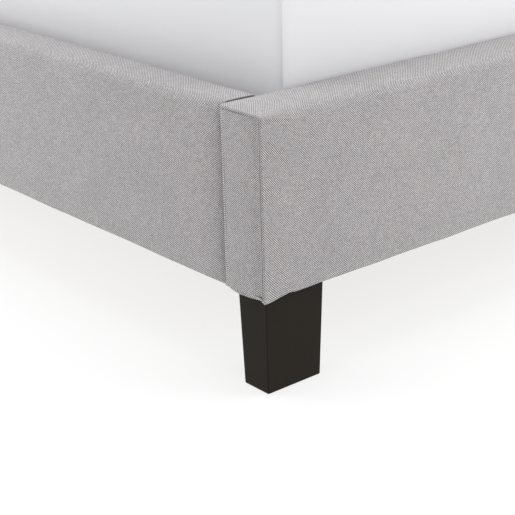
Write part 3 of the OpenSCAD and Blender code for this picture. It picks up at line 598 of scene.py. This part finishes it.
def headboard_outline(spacing=5 * MM, soften=9):
    """The scrolled outline in (y from the front face, z), anticlockwise, with its corners softened."""
    y1, bottom, top = head_low[1], head_low[2], head_high[2]
    reach = CURVE_R + HEAD_T - ROLL_R
    centre_y = CURVE_R + HEAD_T
    centre_z = top - ROLL_R - reach * math.sin(CURVE_ANGLE)
    roll = (centre_y - reach * math.cos(CURVE_ANGLE), centre_z + reach * math.sin(CURVE_ANGLE))
    # where the roll meets the back face
    cos_gap = (reach ** 2 + CURVE_R ** 2 - ROLL_R ** 2) / (2 * reach * CURVE_R)
    meet = CURVE_ANGLE - math.acos(cos_gap)
    start = (centre_y - CURVE_R * math.cos(meet), centre_z + CURVE_R * math.sin(meet))
    roll_from = math.atan2(start[1] - roll[1], start[0] - roll[0])
    roll_to = math.pi - CURVE_ANGLE
    while roll_to < roll_from:
        roll_to += 2 * math.pi
    path = [(0, bottom), (HEAD_T, bottom), (HEAD_T, centre_z)]
    path += [(centre_y - CURVE_R * math.cos(a), centre_z + CURVE_R * math.sin(a))
             for a in np.linspace(0, meet, 60)[1:]]
    path += [(roll[0] + ROLL_R * math.cos(a), roll[1] + ROLL_R * math.sin(a))
             for a in np.linspace(roll_from, roll_to, 80)[1:]]
    path += [(centre_y - (CURVE_R + HEAD_T) * math.cos(a), centre_z + (CURVE_R + HEAD_T) * math.sin(a))
             for a in np.linspace(CURVE_ANGLE, 0, 80)[1:]]
    path = np.array(path + [(0, bottom)], float)
    along = np.concatenate([[0], np.cumsum(np.linalg.norm(np.diff(path, axis=0), axis=1))])
    count = round(along[-1] / spacing)
    even = np.linspace(0, along[-1], count, endpoint=False)
    pts = np.stack([np.interp(even, along, path[:, 0]), np.interp(even, along, path[:, 1])], -1)
    for _ in range(soften):
        pts = 0.5 * pts + 0.25 * (np.roll(pts, 1, axis=0) + np.roll(pts, -1, axis=0))
    run = np.roll(pts, -1, axis=0) - np.roll(pts, 1, axis=0)
    run /= np.linalg.norm(run, axis=1)[:, None]
    nrm = np.stack([run[:, 1], -run[:, 0]], -1)
    lengths = np.linalg.norm(np.roll(pts, -1, axis=0) - pts, axis=1)
    return pts, nrm, np.concatenate([[0], np.cumsum(lengths)]), y1


# insets from the panel's edge and depths, mm: drawn in at the seam, then nearly flat
HEAD_RINGS = [(0.0, 9.0), (0.0, 3.0), (1.5, 1.6), (3.0, 1.0), (5.0, 1.1), (8.0, 1.2), (12.0, 0.9),
              (18.0, 0.5), (24.0, 0.2), (30.0, 0.1)]


def headboard_panel(side, pts, nrm, y1):
    """The end panel of the headboard, in rings inwards from its edge. side is -1 or 1."""
    name = "left" if side < 0 else "right"
    # towards its square bottom corners, where an inset that deep would fold, the outline is scaled instead
    up = (pts[:, 1] - pts[:, 1].min()) / SQUARE_END
    verts, dark = [], []
    for inset, deep in HEAD_RINGS:
        d = SEAM_IN + inset * MM
        scaled = np.stack([HEAD_T / 2 + (pts[:, 0] - HEAD_T / 2) * (1 - 2 * d / HEAD_T),
                           pts[:, 1] + d * (1 - up)], -1)
        ring = np.where((up < 1)[:, None], scaled, pts - nrm * d)
        x = np.full(len(ring), side * (HALF_W - deep * MM))
        verts.append(np.stack([x, y1 + ring[:, 0], ring[:, 1]], -1))
        # painted shade in the seam groove along the panel's edge
        dark.append(np.full(len(ring), 0.6 * math.exp(-(inset / 0.8) ** 2)))
    grid = np.stack(verts)
    u, v = -grid[..., 1] * side * PANEL_WEAVE[0], grid[..., 2] * PANEL_WEAVE[1]
    closed_u, closed_v = (np.concatenate([w, w[:, :1]], 1) for w in (u, v))
    faces, uvs = grid_parts(grid, closed_u, closed_v, True)
    cols, last = len(pts), (len(verts) - 1) * len(pts)
    faces = [list(f) for f in faces] + [list(range(cols))[::-1], [last + k for k in range(cols)]]
    uvs = np.concatenate([uvs, np.stack([u[0], v[0]], -1)[::-1], np.stack([u[-1], v[-1]], -1)])
    obj = new_object("headboard_panel_" + name, grid.reshape(-1, 3), faces, uvs, np.concatenate(dark))
    return finish_piece(obj, MATERIALS["upholstery"], ["headboard_end_panel_" + name])


def headboard():
    pts, nrm, s_len, y1 = headboard_outline()
    outline = (pts, nrm, s_len)
    ripple = waves(41, shortest=0.15, longest=0.8)
    ends = [(END_EDGE_R * (1 - math.sin(a)), END_EDGE_R * (1 - math.cos(a)))
            for a in (math.pi / 2 * k / 6 for k in range(7))]
    left = [(0.006, SEAM_IN + 4 * MM), (0.005, SEAM_IN + 0.5 * MM), (0.001, SEAM_IN)]
    left += [(0.0004, SEAM_IN - 0.7 * MM)] + list(reversed(ends))
    left += [(x, 0.0) for x in spaced(END_EDGE_R, 0.05, 4 * MM)[1:]]
    stations = [(-HALF_W + x, i, 0.0) for x, i in left]
    stations += [(x, 0.0, 0.0) for x in spaced(-HALF_W + 0.05, HALF_W - 0.05, 12 * MM)[1:-1]]
    stations += [(HALF_W - x, i, 0.0) for x, i in reversed(left)]

    def shape(t, a, b, na, nb, s):
        fade = smooth_step((HALF_W - np.abs(t)) / 0.05)
        front = 1.0 * MM * np.clip(-na, 0, 1)
        d = (0.45 * MM * ripple(t, s) - 0.4 * MM + front * 0.4) * fade
        return a + na * d, b + nb * d

    # painted shade in the seam grooves round the ends
    def painted_shade(t, a, b, inset):
        return 0.7 * (inset > SEAM_IN - 0.3 * MM) + 0 * a

    obj = sweep("headboard_fabric", [outline, outline], stations,
                lambda t, a, b: (t, y1 + a, b), shape, painted_shade)
    finish_piece(obj, MATERIALS["upholstery"], ["headboard_cover", "headboard_foam"])
    for side in (-1, 1):
        headboard_panel(side, pts, nrm, y1)


headboard()


# ---------- mattress ----------

BORDER_IN = 2.2 * MM         # the border stands in from the tape edges
TAPE_R = 7 * MM
QUILT_CELLS = 14             # cells from one line of quilting to the next
QUILT_CELL = 14 * MM
EDGE_CELL = 1.2 * MM         # the narrow cell along the edges, which keeps them sharp
CLOTH_FRAMES = 16
CLOTH_PRESSURE = 4
PILLOW = 9 * MM              # most that the quilting rises


def rounded_rectangle(half_w, half_l, radius, spacing=16 * MM):
    return rounded_outline([(-half_w, -half_l, radius), (half_w, -half_l, radius), (half_w, half_l, radius),
                            (-half_w, half_l, radius)], spacing, arc_steps=6)


def quilted_top(half_w, half_l):
    """The height of a quilted panel: cloth held down along its quilting, blown up by cloth simulation."""
    nx, ny = 2 * round(half_w / QUILT_CELL), 2 * round(half_l / QUILT_CELL)
    xs, ys = (np.sort(np.append(np.linspace(-h, h, n + 1), (EDGE_CELL - h, h - EDGE_CELL)))
              for h, n in ((half_w, nx), (half_l, ny)))
    gx, gy = np.meshgrid(xs, ys, indexing="ij")
    points = np.stack([gx, gy, np.zeros_like(gx)], -1)
    # the quilting runs along the grid's own diagonals
    cell_x, cell_y = 2 * half_w / nx, 2 * half_l / ny
    one, two = ((gx / cell_x + sign * gy / cell_y) / QUILT_CELLS for sign in (1, -1))
    from_line = np.minimum(np.abs(one - np.round(one)), np.abs(two - np.round(two)))
    from_line = from_line * QUILT_CELLS * QUILT_CELL
    edge = np.minimum(half_w - np.abs(gx), half_l - np.abs(gy))
    held = (from_line < QUILT_CELL * 0.2) | (edge < 1.5 * EDGE_CELL)
    faces, uvs = grid_parts(points, gx, gy, False)
    cloth = new_object("quilting", points.reshape(-1, 3), faces)
    group = cloth.vertex_groups.new(name="held")
    group.add([int(i) for i in np.flatnonzero(held.ravel())], 1.0, "ADD")
    sim = cloth.modifiers.new("cloth", "CLOTH")
    sim.settings.quality = 4
    sim.settings.mass = 0.3
    sim.settings.tension_stiffness = sim.settings.compression_stiffness = 12
    sim.settings.bending_stiffness = 0.4
    sim.settings.shrink_min = -0.03
    sim.settings.use_pressure = True
    sim.settings.uniform_pressure_force = CLOTH_PRESSURE
    sim.settings.vertex_group_mass = "held"
    sim.settings.effector_weights.gravity = 0
    sim.point_cache.frame_start, sim.point_cache.frame_end = 1, CLOTH_FRAMES
    scene = bpy.context.scene
    for number in range(1, CLOTH_FRAMES + 1):
        scene.frame_set(number)
    shaped = cloth.evaluated_get(bpy.context.evaluated_depsgraph_get())
    z = np.array([v.co.z for v in shaped.data.vertices]).reshape(gx.shape)
    bpy.data.objects.remove(cloth, do_unlink=True)
    scene.frame_set(1)
    return points, PILLOW * np.tanh(np.abs(z) / PILLOW), from_line


def mattress_tape(name, centre, z, path):
    """The edge tape, a flattened tube round the mattress at height z."""
    sides = 10
    pts, nrm, lengths = path
    ring = []
    for k in range(sides):
        a = 2 * math.pi * k / sides
        out = nrm * (TAPE_R * math.cos(a) * 0.5)
        ring.append(np.stack([centre[0] + pts[:, 0] + out[:, 0], centre[1] + pts[:, 1] + out[:, 1],
                              np.full(len(pts), z + TAPE_R * math.sin(a))], -1))
    ring = np.stack(ring, 1)
    ring = np.concatenate([ring, ring[:1]])
    u = np.broadcast_to(lengths[:, None], (len(ring), sides + 1))
    v = np.broadcast_to(np.linspace(0, 2 * math.pi * TAPE_R, sides + 1)[None, :], u.shape)
    faces, uvs = grid_parts(ring, u, v, True)
    faces = faces % ((len(ring) - 1) * sides)
    tape = new_object("mattress_tape_" + name, ring[:-1].reshape(-1, 3), faces, uvs)
    return finish_piece(tape, MATERIALS["ticking"], [], body="mattress")


def mattress():
    low, high = mattress_low, mattress_high
    centre = (low + high) / 2
    half_w, half_l = (high[0] - low[0]) / 2, (high[1] - low[1]) / 2
    corner = 0.3 * MM
    inner_w, inner_l = half_w - BORDER_IN, half_l - BORDER_IN
    top, bottom = high[2] - 1 * MM, low[2] + 3 * MM
    points, rise, from_line = quilted_top(inner_w, inner_l)
    gx, gy = points[..., 0], points[..., 1]
    # round the corners in plan
    over_x, over_y = np.abs(gx) - (inner_w - corner), np.abs(gy) - (inner_l - corner)
    out = np.hypot(over_x, over_y)
    scale = np.where((over_x > 0) & (over_y > 0) & (out > corner), corner / np.maximum(out, 1e-9), 1.0)
    px = np.where(over_x > 0, np.sign(gx) * (inner_w - corner + over_x * scale), gx)
    py = np.where(over_y > 0, np.sign(gy) * (inner_l - corner + over_y * scale), gy)
    edge = np.minimum(half_w - np.abs(gx), half_l - np.abs(gy))
    roll = 5 * MM * np.clip(1 - edge / 0.03, 0, 1) ** 2
    upper = np.stack([px, py, top + rise - roll], -1)
    under = np.stack([px, py, bottom - np.minimum(rise, 2.5 * MM)], -1)
    nx, ny = gx.shape
    ids = np.arange(nx * ny).reshape(nx, ny)
    loop = np.concatenate([ids[:-1, 0], ids[-1, :-1], ids[:0:-1, -1], ids[0, :0:-1]])
    flat_top, flat_under = upper.reshape(-1, 3), under.reshape(-1, 3)
    loop_xy = flat_top[loop][:, :2]
    run = np.roll(loop_xy, -1, axis=0) - np.roll(loop_xy, 1, axis=0)
    run /= np.linalg.norm(run, axis=1)[:, None]
    out_n = np.stack([run[:, 1], -run[:, 0]], -1)
    s = np.concatenate([[0], np.cumsum(np.linalg.norm(np.roll(loop_xy, -1, axis=0) - loop_xy, axis=1))])
    ripple = waves(51, shortest=0.12, longest=0.6)
    rows = 16
    z_top, z_under = flat_top[loop][:, 2], flat_under[loop][:, 2]
    border = []
    for k in range(rows + 1):
        f = k / rows
        z = z_top * (1 - f) + z_under * f
        bulge = 1.6 * MM * math.sin(math.pi * f) ** 0.6 if 0 < k < rows else 0.0
        wave = 0.4 * MM * ripple(s[:-1], z) * (1 if 0 < k < rows else 0)
        border.append(np.stack([loop_xy[:, 0] + out_n[:, 0] * (bulge + wave),
                                loop_xy[:, 1] + out_n[:, 1] * (bulge + wave), z], -1))
    border = np.stack(border)
    faces_top, uv_top = grid_parts(upper, gx, gy, False)
    faces_under, uv_under = grid_parts(under, gx, gy, False)
    base = nx * ny
    n = len(loop)
    # the border's first and last rows are the panels' own edges
    rim = np.concatenate([loop, 2 * base + np.arange((rows - 1) * n), base + loop]).reshape(rows + 1, n)
    side_faces, side_uv = [], []
    for k in range(rows):
        for j in range(n):
            m = (j + 1) % n
            side_faces.append([rim[k, j], rim[k + 1, j], rim[k + 1, m], rim[k, m]])
            z0, z1 = border[k, j, 2], border[k + 1, j, 2]
            side_uv += [(s[j], z0), (s[j], z1), (s[j + 1], z1), (s[j + 1], z0)]
    verts = np.concatenate([flat_top, flat_under, border[1:-1].reshape(-1, 3)])
    verts[:, :2] += centre[:2]
    faces = [list(f) for f in faces_top] + [list(f)[::-1] for f in faces_under + base] + side_faces
    uv_under = uv_under.reshape(-1, 4, 2)[:, ::-1].reshape(-1, 2)
    # painted shade: the quilted panels are darkened against the border, to hold down the light falling on the
    # top, and the quilting lines more, for the shade in their valleys
    quilt_shade = (0.75 + 0.25 * (from_line < QUILT_CELL * 0.2)).ravel()
    quilt_shade = np.concatenate([quilt_shade, quilt_shade, np.zeros((rows - 1) * n)])
    quilt_shade[np.concatenate([loop, base + loop])] = 0
    uvs = np.concatenate([uv_top, uv_under, np.array(side_uv)])
    obj = new_object("mattress_quilted", verts, faces, uvs, quilt_shade)
    # the border turns sharply at its four corners
    ends = np.empty(2 * len(obj.data.edges), dtype=np.int32)
    obj.data.edges.foreach_get("vertices", ends)
    across, along = np.abs(verts[:, :2] - centre[:2]).T
    far_out = (across > inner_w - MM) & (along > inner_l - MM)
    obj.data.edges.foreach_set("use_edge_sharp", far_out[ends].reshape(-1, 2).all(1))
    finish_piece(obj, MATERIALS["ticking"], ["mattress_cover"], body="mattress")
    for name, z in (("top", top - 4 * MM), ("bottom", bottom + 4 * MM)):
        mattress_tape(name, centre, z, rounded_rectangle(inner_w, inner_l, corner, 20 * MM))


mattress()


# ---------- legs ----------

def leg(node, bevel=1.6 * MM):
    """The CAD leg's tapered block with soft arrises."""
    low, high = node_box(node)
    taper = 3.6 * MM
    verts = []
    for z, t in ((0.4 * MM, taper), (high[2], 0.0)):
        verts += [(low[0] + t, low[1] + t, z), (high[0] - t, low[1] + t, z),
                  (high[0] - t, high[1] - t, z), (low[0] + t, high[1] - t, z)]
    faces = [(3, 2, 1, 0), (4, 5, 6, 7), (0, 1, 5, 4), (1, 2, 6, 5), (2, 3, 7, 6), (3, 0, 4, 7)]
    obj = new_object(node + "_lacquered", verts, faces, smooth=False)
    rounding = obj.modifiers.new("arris", "BEVEL")
    rounding.width, rounding.segments, rounding.limit_method = bevel, 3, "NONE"
    rounding.harden_normals = True
    return finish_piece(obj, MATERIALS["leg_finish"], [node])


for end in ("front", "rear"):
    for hand in ("left", "right"):
        leg(f"{end}_leg_{hand}")


# ---------- stage, light and camera ----------

def emit(name, location, target, size, power, colour=(1.0, 1.0, 1.0)):
    data = bpy.data.lights.new(name, "AREA")
    data.shape, data.size, data.size_y = "RECTANGLE", size[0], size[1]
    data.energy, data.color = power, colour
    lamp = bpy.data.objects.new(name, data)
    lamp.location = location
    lamp.rotation_mode = "QUATERNION"
    lamp.rotation_quaternion = (Vector(target) - Vector(location)).to_track_quat("-Z", "Y")
    bpy.context.scene.collection.objects.link(lamp)
    return lamp


SIDE_BOX, SIDE_POWER = (1.4, 1.2), 27.0
TOP_BOX, TOP_POWER = (3.0, 3.0), 40.0

for name, place, aim in (("left_softbox", (-2.3, 0.7, 1.0), (-0.87, -0.3, 0.3)),
                         ("right_softbox", (0.8, -2.5, 1.0), (-0.1, -1.16, 0.3))):
    emit(name, place, aim, SIDE_BOX, SIDE_POWER).visible_camera = False
emit("top_softbox", (-0.4, -0.5, 4.0), (-0.4, -0.5, 0.3), TOP_BOX, TOP_POWER).visible_camera = False

FLOOR_SIZE = 60.0
FLOOR_ALBEDO = 0.22
FLOOR_GLOW = 0.73            # brings the lit floor up to the white of the photograph's background
floor = new_object("floor", [(-FLOOR_SIZE, -FLOOR_SIZE, 0), (FLOOR_SIZE, -FLOOR_SIZE, 0),
                             (FLOOR_SIZE, FLOOR_SIZE, 0), (-FLOOR_SIZE, FLOOR_SIZE, 0)], [(0, 1, 2, 3)])
paper = Graph("floor_paper")
paper.set(Base_Color=grey(FLOOR_ALBEDO), Roughness=0.9)
paper.shader.inputs["Emission Color"].default_value = grey(1.0)
paper.shader.inputs["Emission Strength"].default_value = FLOOR_GLOW
paper.shader.inputs["Specular IOR Level"].default_value = 0.1
floor.data.materials.append(paper.material)

# A white backdrop stands all round. Only the camera sees it, so that it adds nothing to the light.
BACKDROP_R = 50.0
SIDES = 48
around = [(BACKDROP_R * math.cos(a), BACKDROP_R * math.sin(a))
          for a in np.linspace(0, 2 * math.pi, SIDES, endpoint=False)]
backdrop = new_object("backdrop", [(x, y, z) for z in (-1.0, BACKDROP_R) for x, y in around],
                      [(k, (k + 1) % SIDES, SIDES + (k + 1) % SIDES, SIDES + k) for k in range(SIDES)])
card = Graph("backdrop_card")
card.set(Base_Color=grey(0.0), Roughness=1.0)
card.shader.inputs["Emission Color"].default_value = grey(1.0)
card.shader.inputs["Emission Strength"].default_value = 1.0
backdrop.data.materials.append(card.material)
backdrop.visible_diffuse = backdrop.visible_glossy = backdrop.visible_transmission = False
backdrop.visible_shadow = backdrop.visible_volume_scatter = False

# The studio is white all round and brighter behind the bed than behind the camera.
SKY_LEVEL = 0.66
SKY_TILT = (0.46, 0.42, 0.72)
world = bpy.data.worlds.new("studio")
bpy.context.scene.world = world
world.use_nodes = True
sky = world.node_tree
direction = sky.nodes.new("ShaderNodeTexCoord")
lean = sky.nodes.new("ShaderNodeVectorMath")
lean.operation = "DOT_PRODUCT"
lean.inputs[1].default_value = SKY_TILT
level = sky.nodes.new("ShaderNodeMath")
level.operation = "ADD"
level.inputs[1].default_value = SKY_LEVEL
sky.links.new(direction.outputs["Generated"], lean.inputs[0])
sky.links.new(lean.outputs["Value"], level.inputs[0])
background = next(n for n in sky.nodes if n.type == "BACKGROUND")
background.inputs["Color"].default_value = (1.0, 1.0, 1.0, 1.0)
sky.links.new(level.outputs[0], background.inputs["Strength"])

bpy.context.scene.view_settings.view_transform = "Standard"

CAMERA_FROM_CORNER = Vector((-1.0130, -1.2150, 0.6816))   # from the rail's bottom corner at the foot end
CAMERA_HEADING = math.radians(39.54)                      # from +Y towards +X
CAMERA_DOWN = math.radians(21.41)
CAMERA_ROLL = math.radians(1.53)
LENS = 96.53

camera_data = bpy.data.cameras.new("camera")
camera_data.lens, camera_data.sensor_width = LENS, 36.0
camera = bpy.data.objects.new("camera", camera_data)
bpy.context.scene.collection.objects.link(camera)
ahead = Vector((math.sin(CAMERA_HEADING) * math.cos(CAMERA_DOWN),
                math.cos(CAMERA_HEADING) * math.cos(CAMERA_DOWN), -math.sin(CAMERA_DOWN)))
level_right = Vector((math.cos(CAMERA_HEADING), -math.sin(CAMERA_HEADING), 0.0))
level_up = level_right.cross(ahead)
right = level_right * math.cos(CAMERA_ROLL) - level_up * math.sin(CAMERA_ROLL)
up = level_right * math.sin(CAMERA_ROLL) + level_up * math.cos(CAMERA_ROLL)
camera.matrix_world = Matrix.Translation(Vector((-HALF_W, FOOT_Y0, LEG_TOP)) + CAMERA_FROM_CORNER) @ \
    Matrix((right, up, -ahead)).transposed().to_4x4()
camera_data.clip_end = 100.0
bpy.context.scene.camera = camera
